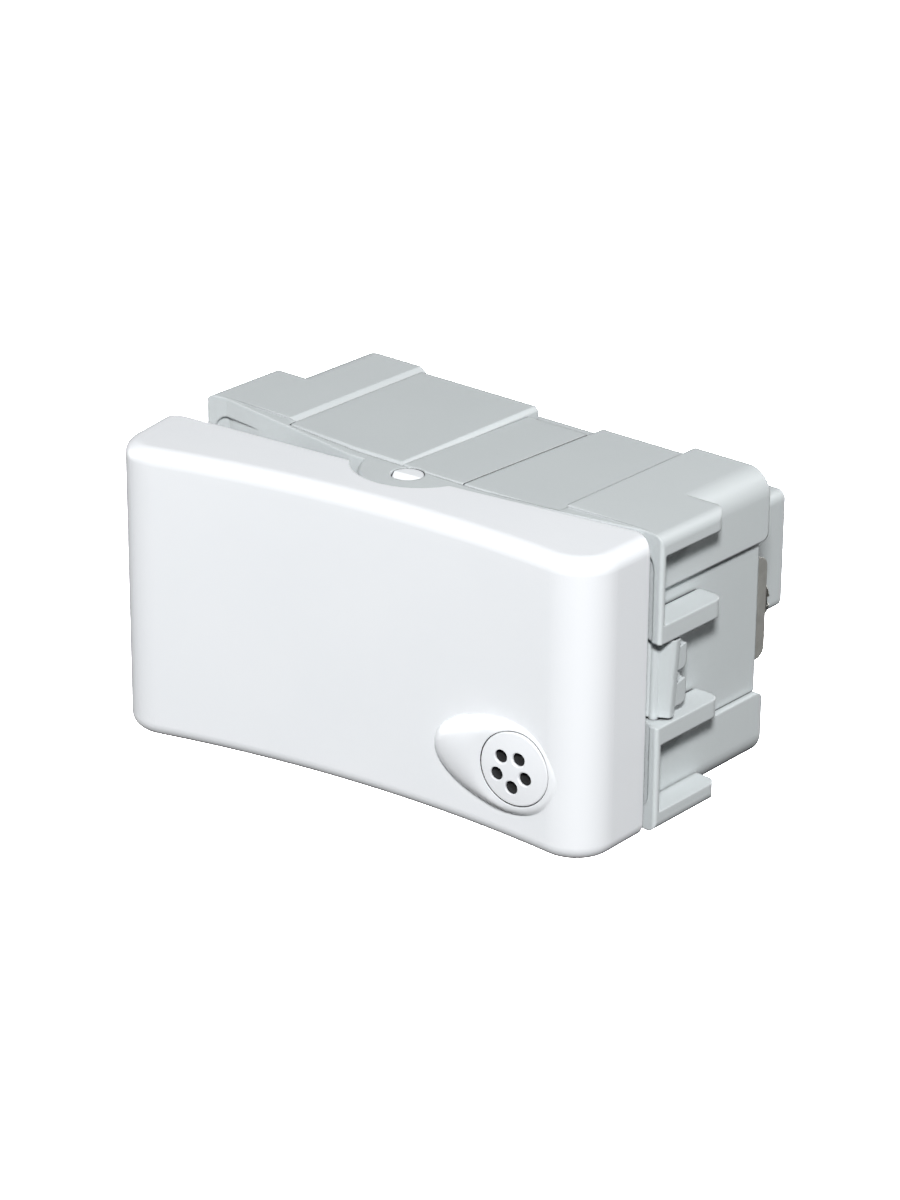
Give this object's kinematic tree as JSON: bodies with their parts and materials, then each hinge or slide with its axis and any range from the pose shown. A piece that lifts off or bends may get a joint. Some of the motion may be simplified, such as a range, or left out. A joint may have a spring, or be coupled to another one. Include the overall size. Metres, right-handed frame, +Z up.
{
  "type": "flush light switch",
  "caption": "Flush rocker light switch module: concave white key with a perforated insert on an egg-shaped nose, on a grey clip-in frame and housing with rear screw terminals.",
  "frame": {"origin": "middle of the support's window, in the plane where the frame's finger tips seat", "axes": "+X to the right along the key, +Y into the wall box, +Z up"},
  "size_m": [0.0436, 0.0385, 0.023],
  "materials": {
    "key_white": "fine satin moulded",
    "seal_black": "matt",
    "nylon": "moulded",
    "spring_steel": "drawn wire",
    "frame_grey": "fine satin moulded",
    "housing_grey": "fine satin moulded",
    "latch_grey": "fine satin moulded",
    "brass": "stamped",
    "blade_copper": "stamped",
    "contact_silver": "satin",
    "zinc_plate": "olive passivated zinc",
    "zinc_screw": "zinc plated"
  },
  "bodies": {
    "base": {"front_frame": "frame_grey", "housing_left": "housing_grey", "housing_right": "housing_grey", "terminal_tower": "housing_grey", "terminal_common": "brass", "terminal_left": "brass", "terminal_right": "brass", "fixed_contact_left": "contact_silver", "fixed_contact_right": "contact_silver"},
    "key": {"rocker": "key_white", "grille_insert": "key_white", "dust_seal": "seal_black", "plunger_spring": "spring_steel"},
    "plunger": {"plunger": "nylon"},
    "blade": {"seesaw_blade": "blade_copper", "moving_contact_left": "contact_silver", "moving_contact_right": "contact_silver"},
    "latch_left": {"latch_left": "latch_grey"},
    "latch_right": {"latch_right": "latch_grey"},
    "clamp_left": {"clamp_plate_left": "zinc_plate", "clamp_screw_left": "zinc_screw"},
    "clamp_right": {"clamp_plate_right": "zinc_plate", "clamp_screw_right": "zinc_screw"},
    "wire_screw_left": {"common_screw_left": "zinc_screw"},
    "wire_screw_right": {"common_screw_right": "zinc_screw"}
  },
  "joints": [
    {"name": "rocker_tilt", "type": "hinge", "parent": "base", "child": "key", "pos_m": [0, -0.0093, 0], "axis": [0, 0, 1], "range_deg": [-12.6, 0]},
    {"name": "plunger_slide", "type": "slide", "parent": "key", "child": "plunger", "axis": [0.1097, -0.994, 0], "range_m": [0, 0.00025], "stiffness_N_per_m": 400, "springref_m": -0.002},
    {"name": "blade_tip", "type": "hinge", "parent": "base", "child": "blade", "pos_m": [0, 0.0029, 0], "axis": [0, 0, 1], "range_deg": [0, 10]},
    {"name": "latch_left_flex", "type": "hinge", "parent": "base", "child": "latch_left", "pos_m": [-0.02025, -0.006, 0], "axis": [0, 0, -1], "range_deg": [0, 6], "stiffness_Nm_per_rad": 0.02},
    {"name": "latch_right_flex", "type": "hinge", "parent": "base", "child": "latch_right", "pos_m": [0.02025, -0.006, 0], "axis": [0, 0, 1], "range_deg": [0, 6], "stiffness_Nm_per_rad": 0.02},
    {"name": "clamp_left_slide", "type": "slide", "parent": "base", "child": "clamp_left", "axis": [0, 1, 0], "range_m": [0, 0.0012]},
    {"name": "clamp_right_slide", "type": "slide", "parent": "base", "child": "clamp_right", "axis": [0, 1, 0], "range_m": [0, 0.0012]},
    {"name": "wire_screw_left_drive", "type": "slide", "parent": "base", "child": "wire_screw_left", "axis": [0, 0, -1], "range_m": [0, 0.0013]},
    {"name": "wire_screw_right_drive", "type": "slide", "parent": "base", "child": "wire_screw_right", "axis": [0, 0, -1], "range_m": [0, 0.0013]}
  ],
  "couplings": [
    {"joint": "blade_tip", "follows": "rocker_tilt", "ratio": -0.7937}
  ]
}
